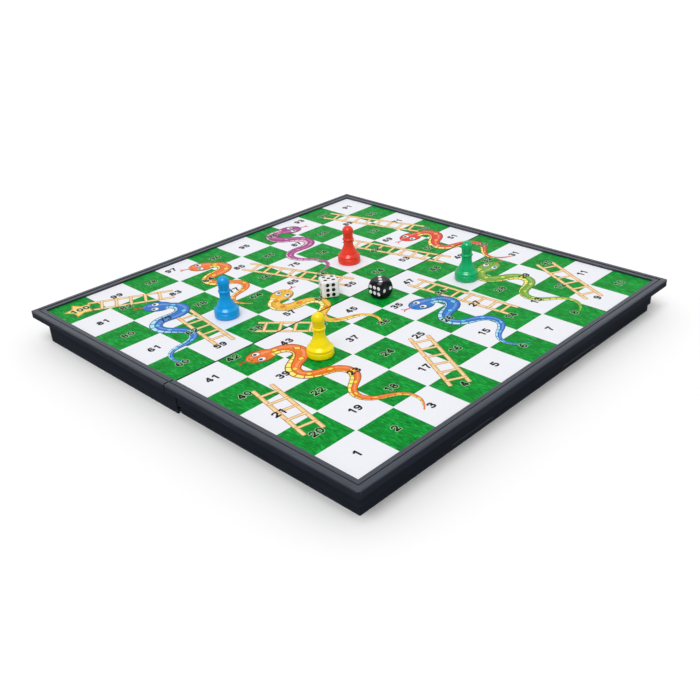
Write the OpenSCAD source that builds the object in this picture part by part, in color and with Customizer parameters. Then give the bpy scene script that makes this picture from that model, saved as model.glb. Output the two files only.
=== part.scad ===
// Folding board for snakes and ladders, with four magnetic pawns and two dice.
// X runs along the fold, Y across it, Z up. The origin is under the middle of the
// open board, on the surface that it stands on. Lengths are in millimetres.

/* [Board] */
// Side of one square of the playing grid
square = 23.5; // [20:0.5:40]
// Width of the frame outside the printed grid
border = 7.5; // [7:0.5:12]
// Height of each half of the case
case_h = 19.1; // [18:0.1:26]
// Gap between the two halves along the fold
seam = 0.8; // [0.4:0.1:1]

/* [Case] */
// Thickness of the overhanging rim
rim_t = 4.5; // [3.6:0.1:6]
// How far the rim stands out past the side walls
overhang = 5.5; // [3:0.1:6]
// Thickness of the side walls
wall_t = 2.4; // [2:0.1:3]
// Thickness of the plate under the playing face
deck_t = 1.8; // [1.2:0.1:2.4]
// Thickness of the wall along the fold
fold_wall_t = 1.8; // [1.2:0.1:2]
// Radius of the rim's corners, seen from above
rim_corner_r = 1.8; // [1:0.1:4]
// Radius of the walls' corners, seen from above
wall_corner_r = 1.5; // [0.5:0.1:2]
// Radius of the rounded outer edge on top of the rim
bead_r = 1.3; // [0.6:0.1:2]
// Chamfer under the rim's outer edge
rim_chamfer = 0.6; // [0.2:0.1:1]
// Height of the rim's bead above the print
rim_rise = 1.3; // [0.6:0.1:2]
// Width of the rim's bead
bead_w = 3; // [2.6:0.1:4]
// Drop from the bead to the inner strip
strip_drop = 0.2; // [0.1:0.05:0.4]
// Width of the groove between the strip and the bead
groove_w = 0.7; // [0.4:0.1:1]
// Depth of that groove below the strip
groove_d = 0.4; // [0.2:0.1:0.6]
// Width of the stiffening ribs under the deck
rib_w = 1; // [0.8:0.1:2]
// Height of the stiffening ribs
rib_h = 1; // [0.6:0.1:2]
// Diameter of the moulding marks under the deck
mark_d = 5; // [3:0.5:8]
// Depth of the moulding marks
mark_depth = 0.2; // [0.1:0.05:0.4]

/* [Hinge] */
// Height of the hinge axis above the table
axis_z = 2.3; // [2.2:0.1:3]
// Radius of the hinge knuckles
knuckle_r = 2.1; // [1.8:0.1:2.1]
// Number of knuckles along the fold, an odd number
knuckles = 11; // [7:2:15]
// Gap between neighbouring knuckles
knuckle_gap = 0.3; // [0.2:0.1:0.6]
// Diameter of the hinge pins
pin_d = 1.6; // [1:0.1:2]
// Clearance round the pin in the knuckles that grip it
grip_fit = 0.02; // [0.01:0.01:0.04]
// Clearance round the pin in the knuckles that turn on it
turn_fit = 0.06; // [0.05:0.01:0.1]
// How far the pins stay back from the ends of the hinge
end_recess = 0.3; // [0.2:0.1:0.6]
// Gap between the two pins in the middle of the fold
pin_gap = 2; // [1:0.5:6]
// Clearance between the nesting lips of the closed box
lip_gap = 0.3; // [0.3:0.05:0.4]
// Length of each snap ridge
snap_len = 30; // [10:1:60]
// Distance of each snap ridge from the middle of the far wall
snap_x = 45; // [40:1:80]
// How far the snap ridge stands out
snap_rise = 0.2; // [0.1:0.02:0.24]
// Radius of the snap ridge
snap_r = 0.5; // [0.4:0.1:0.8]

/* [Playing face] */
// Thickness of the steel sheets
steel_t = 0.5; // [0.3:0.05:0.6]
// Thickness of the printed film
film_t = 0.3; // [0.2:0.05:0.4]
// Width of the print outside the grid
print_margin = 1.2; // [0.4:0.1:2]
// Gap between the film and the frame round it
film_gap = 0.25; // [0.1:0.05:0.4]
// Height of each layer of ink on the film
ink_t = 0.04; // [0.03:0.01:0.05]
// White margin round each green square
green_inset = 0.3; // [0.1:0.1:1]
// Width of a ladder, from rail middle to rail middle
ladder_w = 9.6; // [5:0.2:12]
// Width of a ladder's rails
rail_w = 2.3; // [1:0.1:3]
// Width of a ladder's rungs
rung_w = 1.9; // [1:0.1:3]
// Distance between rungs
rung_step = 8; // [4:0.2:12]
// Width of a snake's body at its thickest
snake_w = 8.6; // [4:0.2:10]
// Width of a snake's head
snake_head_w = 12.4; // [6:0.2:14]
// Length of a snake's head
snake_head_l = 16; // [8:0.5:20]
// Width of a snake's tail at its tip
snake_tip_w = 0.6; // [0.4:0.1:1]

/* [Pawns] */
// Height of a pawn
pawn_h = 23; // [18:0.5:28]
// Radius of a pawn's base
pawn_r = 6.7; // [5.5:0.1:8]
// Radius of a pawn's head
head_r = 3.3; // [3:0.1:4]
// Height of the straight band round a pawn's base
band_h = 3.3; // [2.4:0.1:3.6]
// Radius of the band's lower edge
band_edge_r = 1.1; // [0.4:0.1:1.4]
// Radius of a pawn's collar
collar_r = 3.4; // [3:0.1:4]
// Height of the middle of a pawn's collar
collar_z = 14.8; // [14:0.1:16]
// Thickness of a pawn's collar
collar_t = 1.3; // [0.8:0.1:2]
// Radius of a pawn's neck above its collar
neck_r = 2.9; // [2:0.1:3.2]
// Diameter of the magnet in a pawn's base
magnet_d = 8; // [6:0.5:9]
// Thickness of the magnet
magnet_t = 1.5; // [1:0.1:2]
// Clearance round the magnet, and under it
magnet_fit = 0.05; // [0.02:0.01:0.1]

/* [Dice] */
// Side of a die
die_s = 10; // [8:0.5:14]
// Radius of the white die's rounded edges
white_edge_r = 1.3; // [0.6:0.1:2]
// Radius of the ball that rounds the black die
black_ball_r = 6.7; // [6.6:0.05:7]
// Diameter of a spot
spot_d = 2.2; // [1:0.1:2.4]
// Depth of a spot's recess
spot_depth = 0.5; // [0.3:0.1:0.8]
// Thickness of the paint in a spot
paint_t = 0.38; // [0.2:0.02:0.4]
// Clearance round the paint
paint_fit = 0.01; // [0.01:0.01:0.05]
// Turn of the white die on the board, in degrees
white_turn = -33; // [-90:1:90]
// Turn of the black die on the board, in degrees
black_turn = 2; // [-90:1:90]

/* [Hidden] */
$fn = 64;

// Squares along each side of the grid, as the game has them
grid_n = 10;
half_n = grid_n / 2;
// Overrun of every cut
over = 1;

grid_w = grid_n * square;
film_w = grid_w + 2 * print_margin;
open_w = grid_w + 2 * border;
wall_x = open_w / 2 - overhang;
inner_x = wall_x - wall_t;
rim_z = case_h - rim_t;
film_z = case_h - rim_rise;
steel_z = film_z - film_t;
deck_z = steel_z - steel_t;
deck_low_z = deck_z - deck_t;
strip_z = case_h - strip_drop;
recess_x = film_w / 2 + film_gap;
bead_x = open_w / 2 - bead_w;
groove_x = bead_x - groove_w;
ladder_z = film_z + ink_t;
snake_z = ladder_z + ink_t;
far_y = -open_w / 2;
near_y = -seam / 2;
fold_in_y = near_y - fold_wall_t;

// The lips overlap over this height when the box is closed
lip_h = 2 * axis_z + lip_gap;
lip_t = (wall_t - lip_gap) / 2;

// The end knuckles run into the lower half's inner lip
hinge_l = 2 * inner_x + lip_t;
knuckle_pitch = hinge_l / knuckles;

// Straight steps in the rounding of the rim's edge
edge_steps = 6;

function arc_points(cx, cy, r, from, to, steps) =
    [for (k = [0 : steps]) let (a = from + (to - from) * k / steps)
        [cx + r * cos(a), cy + r * sin(a)]];

// A smooth curve through the points of a path, with rounds of steps between two points
function path_end(a, b) = 2 * a - b;
function curve_at(a, b, c, d, t) =
    (2 * b + (c - a) * t + (2 * a - 5 * b + 4 * c - d) * t * t
    + (3 * b - a - 3 * c + d) * t * t * t) / 2;
function curve_points(p, steps) = let (n = len(p) - 1) concat(
    [for (i = [0 : n - 1], k = [0 : steps - 1]) curve_at(
        i == 0 ? path_end(p[0], p[1]) : p[i - 1], p[i], p[i + 1],
        i == n - 1 ? path_end(p[n], p[n - 1]) : p[i + 2], k / steps)],
    [p[n]]);

// Case

module plan_slab(half_x, y_far, r, z0, z1) {
    // A plate with its two far corners rounded, from the far side to the fold
    translate([0, 0, z0]) linear_extrude(z1 - z0) {
        translate([-half_x + r, y_far]) square([2 * (half_x - r), near_y - y_far]);
        translate([-half_x, y_far + r]) square([2 * half_x, near_y - y_far - r]);
        for (s = [-1, 1]) translate([s * (half_x - r), y_far + r]) circle(r);
    }
}

// Outline of the rim's edge, cut square at the origin's side
function edge_outline(reach) = concat(
    [[0, rim_z], [reach - rim_chamfer, rim_z], [reach, rim_z + rim_chamfer]],
    arc_points(reach - bead_r, case_h - bead_r, bead_r, 0, 90, edge_steps),
    [[0, case_h]]);

module rim_body() {
    half = open_w / 2;
    intersection() {
        plan_slab(half, far_y, rim_corner_r, rim_z, case_h);
        rotate([90, 0, 0]) linear_extrude(half + over)
            union() {
                polygon(edge_outline(half));
                mirror([1, 0]) polygon(edge_outline(half));
            }
        rotate([90, 0, -90]) translate([0, 0, -half - over]) linear_extrude(open_w + 2 * over)
            polygon(edge_outline(half));
    }
}

module ring_cut(inner, outer, z) {
    // A cut round the playing face between two distances from the middle, open at the fold
    translate([0, 0, z]) difference() {
        translate([-outer, -outer, 0]) cube([2 * outer, outer + over, case_h]);
        translate([-inner, -inner, -over]) cube([2 * inner, inner + 2 * over, case_h + 2 * over]);
    }
}

module deck_ribs() {
    z = deck_low_z - rib_h;
    mid_y = (fold_in_y - inner_x) / 2;
    translate([-inner_x, mid_y - rib_w / 2, z]) cube([2 * inner_x, rib_w, rib_h]);
    for (k = [-1 : 1])
        translate([k * inner_x / 2 - rib_w / 2, -inner_x, z])
            cube([rib_w, inner_x + fold_in_y, rib_h]);
}

module moulding_marks() {
    for (kx = [-3 : 2 : 3], ky = [1, 3])
        translate([kx * inner_x / 4, -ky * inner_x / 4, deck_low_z - over])
            cylinder(d = mark_d, h = over + mark_depth);
}

module half_case(outer_lip) {
    // One tray with its rim, its deck and its walls, before the hinge. The fold is at Y = 0
    difference() {
        union() {
            rim_body();
            plan_slab(wall_x, -wall_x, wall_corner_r, 0, rim_z + over);
        }
        // Storage well
        translate([-inner_x, -inner_x, -over])
            cube([2 * inner_x, inner_x + fold_in_y, deck_low_z + over]);
        moulding_marks();
        // Seat of the steel sheet and the film
        translate([-recess_x, -recess_x, deck_z]) cube([2 * recess_x, recess_x + over, case_h]);
        ring_cut(recess_x - over, groove_x, strip_z);
        ring_cut(groove_x - over, bead_x, strip_z);
        ring_cut(groove_x, bead_x, strip_z - groove_d);
        // The wall along the fold ends above the knuckles
        translate([-inner_x, fold_in_y - over, -over])
            cube([2 * inner_x, -fold_in_y + 2 * over, lip_h + over]);
        // The walls are halved in thickness where the two halves nest
        if (outer_lip) {
            x = wall_x - lip_t;
            translate([-x, -x, -over]) cube([2 * x, x + over, lip_h + over]);
        } else {
            x = inner_x + lip_t;
            difference() {
                translate([-wall_x - over, -wall_x - over, -over])
                    cube([2 * (wall_x + over), wall_x + 2 * over, lip_h + over]);
                translate([-x, -x, -2 * over]) cube([2 * x, x + 3 * over, lip_h + 4 * over]);
            }
        }
    }
    deck_ribs();
}

module knuckle_row(first) {
    // Every second knuckle, each joined to its own half's fold wall by a web
    for (i = [first : 2 : knuckles - 1]) {
        x0 = -hinge_l / 2 + i * knuckle_pitch + (i == 0 ? 0 : knuckle_gap / 2);
        x1 = -hinge_l / 2 + (i + 1) * knuckle_pitch - (i == knuckles - 1 ? 0 : knuckle_gap / 2);
        translate([x0, 0, axis_z]) rotate([0, 90, 0]) cylinder(r = knuckle_r, h = x1 - x0);
        translate([x0, fold_in_y, axis_z]) cube([x1 - x0, fold_wall_t, lip_h - axis_z + over]);
    }
}

module hinge_bore(fit) {
    translate([-wall_x - over, 0, axis_z]) rotate([0, 90, 0])
        cylinder(d = pin_d + 2 * fit, h = 2 * (wall_x + over));
}

module snap_ridges(r, y) {
    for (s = [-1, 1])
        translate([s * snap_x - snap_len / 2, y, axis_z]) rotate([0, 90, 0])
            cylinder(r = r, h = snap_len);
}

module case_lower() {
    color([0.2, 0.21, 0.23]) difference() {
        union() {
            half_case(false);
            knuckle_row(0);
            snap_ridges(snap_r, -(inner_x + lip_t) + snap_r - snap_rise);
        }
        hinge_bore(grip_fit);
    }
}

module case_upper() {
    color([0.2, 0.21, 0.23]) mirror([0, 1, 0]) difference() {
        union() {
            half_case(true);
            knuckle_row(1);
        }
        hinge_bore(turn_fit);
        snap_ridges(snap_r, -(inner_x + lip_t) + snap_r - snap_rise);
    }
}

module hinge_pin() {
    pin_end = hinge_l / 2 - end_recess;
    color([0.75, 0.76, 0.78]) translate([-pin_end, 0, axis_z])
        rotate([0, 90, 0]) cylinder(d = pin_d, h = pin_end - pin_gap / 2);
}

module hinge_pin_left() { hinge_pin(); }

module hinge_pin_right() { mirror([1, 0, 0]) hinge_pin(); }

// Playing face

module face_sheet(z, t) {
    translate([-film_w / 2, -film_w / 2, z]) cube([film_w, film_w / 2 + near_y, t]);
}

module steel_sheet_lower() { color([0.55, 0.57, 0.6]) face_sheet(deck_z, steel_t); }

module steel_sheet_upper() {
    color([0.55, 0.57, 0.6]) mirror([0, 1, 0]) face_sheet(deck_z, steel_t);
}

module playing_film_lower() { color([0.93, 0.93, 0.96]) face_sheet(steel_z, film_t); }

module playing_film_upper() {
    color([0.93, 0.93, 0.96]) mirror([0, 1, 0]) face_sheet(steel_z, film_t);
}

// Even numbers are green. A row's numbers run to the right, and the next row's to the left
function is_green(column, row) = (column + row) % 2 == 1;

// Margins at the near and the far side of a square: the outer ones reach the film's edges
function margins(k) =
    [k == 0 ? -print_margin : green_inset, k == grid_n - 1 ? -print_margin : green_inset];

// Keeps what is printed on one half: -1 the lower one, 1 the upper one
module on_half(side, z) {
    intersection() {
        children();
        translate([-film_w / 2, side < 0 ? -film_w / 2 : -near_y, z - over])
            cube([film_w, film_w / 2 + near_y, 2 * over]);
    }
}

module green_squares(side) {
    first_row = side < 0 ? 0 : half_n;
    color([0.05, 0.55, 0.2]) on_half(side, film_z)
        for (row = [first_row : first_row + half_n - 1], column = [0 : grid_n - 1])
            if (is_green(column, row)) {
                x = margins(column);
                y = margins(row);
                translate([(column - half_n) * square + x[0], (row - half_n) * square + y[0], film_z])
                    cube([square - x[0] - x[1], square - y[0] - y[1], ink_t]);
            }
}

module green_squares_lower() { green_squares(-1); }

module green_squares_upper() { green_squares(1); }

// Feet and tops of the ladders, in squares from the corner of square 1
ladder_shares = [
    [[3.45, 0.55], [4.45, 2.45]],
    [[8.45, 0.55], [9.45, 2.55]],
    [[0.50, 1.55], [0.90, 3.45]],
    [[6.75, 1.60], [6.55, 4.40]],
    [[3.45, 4.45], [2.55, 5.55]],
    [[1.65, 5.50], [1.95, 7.50]],
    [[5.60, 5.60], [4.65, 8.40]],
    [[8.15, 4.60], [7.45, 7.45]],
    [[2.45, 8.50], [0.70, 9.50]],
    [[9.45, 6.55], [8.60, 9.45]]];

module ladder(foot, top) {
    a = [for (c = foot) (c - half_n) * square];
    b = [for (c = top) (c - half_n) * square];
    len_ab = norm(b - a);
    rungs = floor(len_ab / rung_step);
    spare = len_ab - (rungs - 1) * rung_step;
    translate([a[0], a[1], ladder_z]) rotate(atan2(b[1] - a[1], b[0] - a[0]))
        linear_extrude(ink_t) {
            for (s = [-1, 1])
                translate([0, s * ladder_w / 2 - rail_w / 2]) square([len_ab, rail_w]);
            for (k = [0 : rungs - 1])
                translate([spare / 2 + k * rung_step - rung_w / 2, -ladder_w / 2])
                    square([rung_w, ladder_w]);
        }
}

module ladders(side) {
    color([0.93, 0.78, 0.52]) on_half(side, ladder_z)
        for (way = ladder_shares) ladder(way[0], way[1]);
}

module ladders_lower() { ladders(-1); }

module ladders_upper() { ladders(1); }

// Nose and tip of the tail of each snake, in squares from the corner of square 1
snake_shares = [
    [[3.60, 9.45], [3.30, 6.55]],
    [[7.45, 9.35], [5.60, 6.65]],
    [[1.50, 8.40], [0.60, 5.40]],
    [[8.45, 6.40], [9.35, 3.45]],
    [[4.35, 6.45], [4.35, 3.45]],
    [[1.40, 4.50], [2.30, 0.50]],
    [[5.40, 3.50], [5.70, 0.45]],
    [[8.75, 3.50], [7.65, 0.45]]];
// Bends of each snake
snake_bends = [4, 4, 4, 4, 4, 5, 4, 4];
// How far each snake turns from the line between its ends, in degrees
snake_swings = [80, -82, 78, 80, -82, 76, 82, -78];
// Part of the length, at the head, that stays straight
straight_share = 0.1;
// How much less a snake turns at its tail than at its head
calm_share = 0.3;
bend_steps = 14;
// Width of the neck, as a share of the body's width
neck_share = 0.62;
// Part of the length over which the body is drawn in to its tail
tail_share = 0.75;
// How full the tail stays, 1 for straight sides
tail_power = 0.8;

function turn_at(u, bends, swing) =
    let (v = max(0, u - straight_share) / (1 - straight_share))
    swing * cos(180 * bends * v) * (1 - calm_share * v);

// Points one step apart, which turn to and fro
function walk(n, bends, swing, k = 0, at = [0, 0]) = k > n ? [] :
    let (a = turn_at((k + 0.5) / n, bends, swing))
    concat([at], walk(n, bends, swing, k + 1, at + [cos(a), sin(a)]));

// The same walk, turned and scaled to run from the nose to the tip of the tail
function snake_way(ends, bends, swing) =
    let (
        nose = (ends[0] - [half_n, half_n]) * square,
        along = (ends[1] - ends[0]) * square,
        p = walk(bends * bend_steps, bends, swing),
        e = p[len(p) - 1],
        m = [along * e, along[1] * e[0] - along[0] * e[1]] / (e * e))
    [for (q = p) nose + [m[0] * q[0] - m[1] * q[1], m[1] * q[0] + m[0] * q[1]]];

function run_lengths(p, i = 0, run = 0) = i == len(p) ? [] :
    let (r = i == 0 ? 0 : run + norm(p[i] - p[i - 1])) concat([r], run_lengths(p, i + 1, r));

function head_half(s) = s >= snake_head_l ? 0 :
    snake_head_w / 2 * sqrt(max(0, 1 - pow(2 * s / snake_head_l - 1, 2)));

function body_half(s, total) = s < snake_head_l / 2 ? 0 :
    let (
        out = min(1, (s - snake_head_l / 2) / snake_head_l),
        back = min(1, (total - s) / (tail_share * total)))
    snake_tip_w / 2 + (snake_w - snake_tip_w) / 2
        * (neck_share + (1 - neck_share) * out) * pow(back, tail_power);

function snake_outline(p) =
    let (
        n = len(p) - 1,
        run = run_lengths(p),
        side = [for (i = [0 : n])
            let (d = p[min(n, i + 1)] - p[max(0, i - 1)]) [-d[1], d[0]] / norm(d)],
        half = [for (r = run) max(head_half(r), body_half(r, run[n]))])
    concat([for (i = [0 : n]) p[i] + half[i] * side[i]],
           [for (i = [n : -1 : 1]) p[i] - half[i] * side[i]]);

module snakes(side) {
    color([0.9, 0.35, 0.15]) on_half(side, snake_z)
        for (k = [0 : len(snake_shares) - 1])
            translate([0, 0, snake_z]) linear_extrude(ink_t)
                polygon(snake_outline(snake_way(snake_shares[k], snake_bends[k], snake_swings[k])));
}

module snakes_lower() { snakes(-1); }

module snakes_upper() { snakes(1); }

// Pawns

// Places of the four pawns and of the two dice, in squares from the corner of square 1
red_shares = [6.5, 6.5];
blue_shares = [2.5, 6.5];
yellow_shares = [2.55, 3.5];
green_shares = [7.5, 3.5];
white_die_shares = [4.76, 5.47];
black_die_shares = [5.48, 4.48];

// The pawns and the dice stand on top of the print
function stand(at) = [(at[0] - half_n) * square, (at[1] - half_n) * square, snake_z + ink_t];

// The waist from the shoulder to the collar, as shares of the base radius and of the height
waist_shares = [
    [0.965, 0.157], [0.995, 0.180], [0.985, 0.205], [0.915, 0.228], [0.820, 0.253], [0.755, 0.280],
    [0.690, 0.320], [0.610, 0.362], [0.525, 0.410], [0.460, 0.460], [0.425, 0.520], [0.430, 0.585]];
waist_steps = 4;
round_steps = 8;

function pawn_outline() =
    let (
        head_z = pawn_h - head_r,
        neck_a = asin(min(1, neck_r / head_r)),
        collar_in = collar_t / 2)
    concat(
        [[0, 0]],
        arc_points(pawn_r - band_edge_r, band_edge_r, band_edge_r, -90, 0, round_steps / 2),
        [[pawn_r, band_h]],
        curve_points([for (q = waist_shares) [q[0] * pawn_r, q[1] * pawn_h]], waist_steps),
        arc_points(collar_r - collar_in, collar_z, collar_in, -90, 90, round_steps),
        [[neck_r, collar_z + collar_t]],
        arc_points(0, head_z, head_r, neck_a - 90, 90, 2 * round_steps));

module pawn(at) {
    translate(stand(at)) difference() {
        rotate_extrude() polygon(pawn_outline());
        translate([0, 0, -over])
            cylinder(d = magnet_d + 2 * magnet_fit, h = over + magnet_t + 2 * magnet_fit);
    }
}

module magnet(at) {
    color([0.3, 0.3, 0.32]) translate(stand(at)) translate([0, 0, magnet_fit])
        cylinder(d = magnet_d, h = magnet_t);
}

module pawn_red() { color([0.88, 0.15, 0.12]) pawn(red_shares); }

module pawn_blue() { color([0.0, 0.48, 0.8]) pawn(blue_shares); }

module pawn_yellow() { color([1.0, 0.85, 0.0]) pawn(yellow_shares); }

module pawn_green() { color([0.05, 0.6, 0.35]) pawn(green_shares); }

module magnet_red() { magnet(red_shares); }

module magnet_blue() { magnet(blue_shares); }

module magnet_yellow() { magnet(yellow_shares); }

module magnet_green() { magnet(green_shares); }

// Dice

// Spots of each number, as shares of half the die's side
spot_shares = [
    [[0, 0]],
    [[-0.5, 0], [0.5, 0]],
    [[-0.46, -0.46], [0, 0], [0.46, 0.46]],
    [[-0.46, -0.46], [-0.46, 0.46], [0.46, -0.46], [0.46, 0.46]],
    [[-0.46, -0.46], [-0.46, 0.46], [0, 0], [0.46, -0.46], [0.46, 0.46]],
    [[-0.32, -0.58], [-0.32, 0], [-0.32, 0.58], [0.32, -0.58], [0.32, 0], [0.32, 0.58]]];

// Number and quarter turns of each face: front, right, back, left, top and bottom
white_faces = [[6, 0], [3, 0], [1, 0], [4, 0], [5, 0], [2, 0]];
black_faces = [[2, 0], [1, 0], [5, 0], [6, 1], [3, 0], [4, 0]];
face_turns = [[90, 0, 0], [90, 0, 90], [90, 0, 180], [90, 0, 270], [0, 0, 0], [180, 0, 0]];

module spots(faces, d, depth, back) {
    // Short round plugs under each face, set back from it
    for (f = [0 : len(faces) - 1])
        rotate(face_turns[f]) rotate(faces[f][1] * 90)
            for (q = spot_shares[faces[f][0] - 1])
                translate([q[0] * die_s / 2, q[1] * die_s / 2, die_s / 2 - back - depth])
                    cylinder(d = d, h = depth);
}

module on_board(at, turn) {
    translate(stand(at)) translate([0, 0, die_s / 2]) rotate(turn) children();
}

module spot_recesses(faces) {
    spots(faces, spot_d, spot_depth + over, -over);
}

module spot_paint(faces) {
    spots(faces, spot_d - 2 * paint_fit, paint_t, spot_depth - paint_t);
}

module die_white() {
    corner = die_s / 2 - white_edge_r;
    color([0.95, 0.94, 0.95]) on_board(white_die_shares, white_turn) difference() {
        hull() for (x = [-1, 1], y = [-1, 1], z = [-1, 1])
            translate([x, y, z] * corner) sphere(r = white_edge_r, $fn = 32);
        spot_recesses(white_faces);
    }
}

module die_black() {
    color([0.06, 0.06, 0.07]) on_board(black_die_shares, black_turn) difference() {
        intersection() {
            cube(die_s, center = true);
            sphere(r = black_ball_r);
        }
        spot_recesses(black_faces);
    }
}

module spots_white() {
    color([0.05, 0.05, 0.06]) on_board(white_die_shares, white_turn) spot_paint(white_faces);
}

module spots_black() {
    color([0.95, 0.95, 0.95]) on_board(black_die_shares, black_turn) spot_paint(black_faces);
}

case_lower();
case_upper();
hinge_pin_left();
hinge_pin_right();
steel_sheet_lower();
steel_sheet_upper();
playing_film_lower();
playing_film_upper();
green_squares_lower();
green_squares_upper();
ladders_lower();
ladders_upper();
snakes_lower();
snakes_upper();
pawn_red();
pawn_blue();
pawn_yellow();
pawn_green();
magnet_red();
magnet_blue();
magnet_yellow();
magnet_green();
die_white();
die_black();
spots_white();
spots_black();
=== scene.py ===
"""Looks of a folding snakes and ladders board: its case, its print, four pawns and two dice.

X runs along the fold, Y across it and Z up, in metres, with the origin under the middle of the open board.
"""

import math

import bmesh
import bpy
from bpy.props import FloatProperty, FloatVectorProperty, IntProperty, PointerProperty
from mathutils import Matrix, Vector


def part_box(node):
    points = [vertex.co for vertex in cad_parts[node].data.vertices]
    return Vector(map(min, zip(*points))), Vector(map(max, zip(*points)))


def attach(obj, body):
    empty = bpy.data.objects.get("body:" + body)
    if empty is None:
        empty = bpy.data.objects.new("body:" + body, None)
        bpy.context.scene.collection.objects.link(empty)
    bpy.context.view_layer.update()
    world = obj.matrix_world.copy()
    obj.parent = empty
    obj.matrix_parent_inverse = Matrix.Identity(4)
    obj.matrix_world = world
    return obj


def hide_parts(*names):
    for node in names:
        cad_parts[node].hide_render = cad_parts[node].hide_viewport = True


bl_info = {
    "name": "Snakes and Ladders Board",
    "version": (1, 0, 0),
    "blender": (4, 5, 0),
    "location": "3D View > Sidebar > Board Game",
    "description": "Builds the looks of a folding snakes and ladders board, its pawns and its dice",
    "category": "Object",
}

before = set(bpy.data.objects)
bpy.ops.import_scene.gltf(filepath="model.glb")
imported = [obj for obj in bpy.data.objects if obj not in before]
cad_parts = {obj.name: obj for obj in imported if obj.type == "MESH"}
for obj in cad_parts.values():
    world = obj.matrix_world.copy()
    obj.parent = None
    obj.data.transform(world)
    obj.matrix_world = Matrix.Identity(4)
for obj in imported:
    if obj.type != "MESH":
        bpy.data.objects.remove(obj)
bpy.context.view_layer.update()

MM = 0.001
# Points nearer to each other than this are one point
TOUCH = MM / 1000
HALVES = (("lower", -1), ("upper", 1))

# The playing face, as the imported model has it. The film reaches past the grid by a margin
FILM_LOW, FILM_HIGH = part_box("playing_film_lower")
PRINT_MARGIN = 1.2 * MM
GRID_N = 10
HALF_N = GRID_N // 2
SQUARE = (FILM_HIGH.x - FILM_LOW.x - 2 * PRINT_MARGIN) / GRID_N
FOLD_GAP = -FILM_HIGH.y
FILM_Z = FILM_HIGH.z
# The pawns and the dice stand on top of all the ink
STAND_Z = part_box("pawn_red")[0].z

# Tops of the layers of ink, as shares of the way from the film to what stands on it
LAYER_SHARES = {
    "ladder": 0.58, "nail": 0.62, "star": 0.58, "star_face": 0.62, "tongue": 0.68, "snake": 0.73,
    "eye_rim": 0.76, "eye": 0.79, "pupil": 0.82, "halo": 0.87, "number": 0.93}


def screen(red, green, blue):
    """A colour given from 0 to 255, as on a screen, as the linear values that shaders take."""
    shares = [level / 255 for level in (red, green, blue)]
    return tuple(s / 12.92 if s <= 0.04045 else ((s + 0.055) / 1.055) ** 2.4 for s in shares)


def colour(name, description, *levels):
    """A colour property whose default is given from 0 to 255."""
    return FloatVectorProperty(
        name=name, description=description, subtype="COLOR", min=0.0, max=1.0, default=screen(*levels))


def length(name, description, millimetres, low, high):
    """A length property, given in millimetres and kept in metres."""
    return FloatProperty(
        name=name, description=description, unit="LENGTH", precision=5,
        default=millimetres * MM, min=low * MM, max=high * MM)


def amount(name, description, value, low=0.0, high=1.0):
    """A property without a unit."""
    return FloatProperty(name=name, description=description, default=value, min=low, max=high)


def angle(name, description, degrees):
    """An angle property, given in degrees."""
    return FloatProperty(
        name=name, description=description, subtype="ANGLE", default=math.radians(degrees))


# Settings

class CaseSettings(bpy.types.PropertyGroup):
    """Finish of the moulded case, its hinge pins and its steel sheets"""

    plastic: colour("Plastic", "Colour of the moulded case", 39, 46, 59)
    roughness: amount("Roughness", "Roughness of the case's satin skin", 0.38)
    gloss: amount("Gloss", "How strongly the case's satin skin mirrors", 0.54)
    edge_round: length("Edge Rounding", "Rounding of the case's edges", 0.18, 0.05, 0.3)
    sharp: angle("Sharp Edges", "Edges that turn more than this are rounded", 32)
    steel: colour("Steel", "Colour of the pins", 176, 180, 184)
    sheet: colour("Sheet Steel", "Colour of the sheets, whose edges show along the fold", 92, 94, 98)
    magnet: colour("Magnet", "Colour of the ferrite magnets", 62, 62, 66)


class PrintSettings(bpy.types.PropertyGroup):
    """Colours and sizes of the print on the playing face"""

    paper: colour("White", "Colour of the white squares", 239, 240, 246)
    # The cut edge's colour is painted shade: it darkens the film at the fold, where the gap lies in shade
    cut: colour("Cut Edge", "Colour of the film's cut edge along the fold", 40, 42, 46)
    grass: colour("Green", "Middle colour of the green squares", 0, 150, 50)
    grass_dark: colour("Dark Green", "Darkest specks of the green squares", 0, 108, 32)
    grass_light: colour("Light Green", "Lightest specks of the green squares", 44, 190, 82)
    ink: colour("Black Ink", "Colour of the numbers", 20, 20, 24)
    halo: colour("Halo", "Outline of the numbers on green squares", 168, 214, 160)
    wood: colour("Wood", "Colour of the ladders", 250, 222, 168)
    wood_dark: colour("Dark Wood", "Grain and shaded side of the ladders", 232, 182, 118)
    wood_edge: colour("Wood Outline", "Outline of the ladders", 176, 116, 60)
    number_h: length("Number Height", "Height of the numbers", 4.4, 3, 8)
    number_bold: amount("Number Weight", "Width of the digits' strokes, in digit heights", 0.21, 0.1, 0.25)
    number_step: amount("Number Step", "From one digit to the next, in digit heights", 0.86, 0.7, 1.2)
    halo_w: amount("Halo Width", "Width of the numbers' outline, in digit heights", 0.06, 0, 0.1)
    ladder_w: length("Ladder Width", "From rail middle to rail middle", 9.6, 5, 12)
    rail_w: length("Rail Width", "Width of a rail", 2.3, 1, 3)
    rung_w: length("Rung Width", "Width of a rung", 1.9, 1, 3)
    rung_step: length("Rung Step", "Distance between rungs", 8, 4, 12)
    outline_w: length("Outline", "Width of the ladders' outline", 0.26, 0.1, 0.5)
    star: colour("Star", "Colour of the star behind the last number", 250, 214, 120)
    star_edge: colour("Star Outline", "Outline of the star", 214, 150, 60)
    star_r: length("Star Radius", "Radius of the star", 9, 5, 11)


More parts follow.
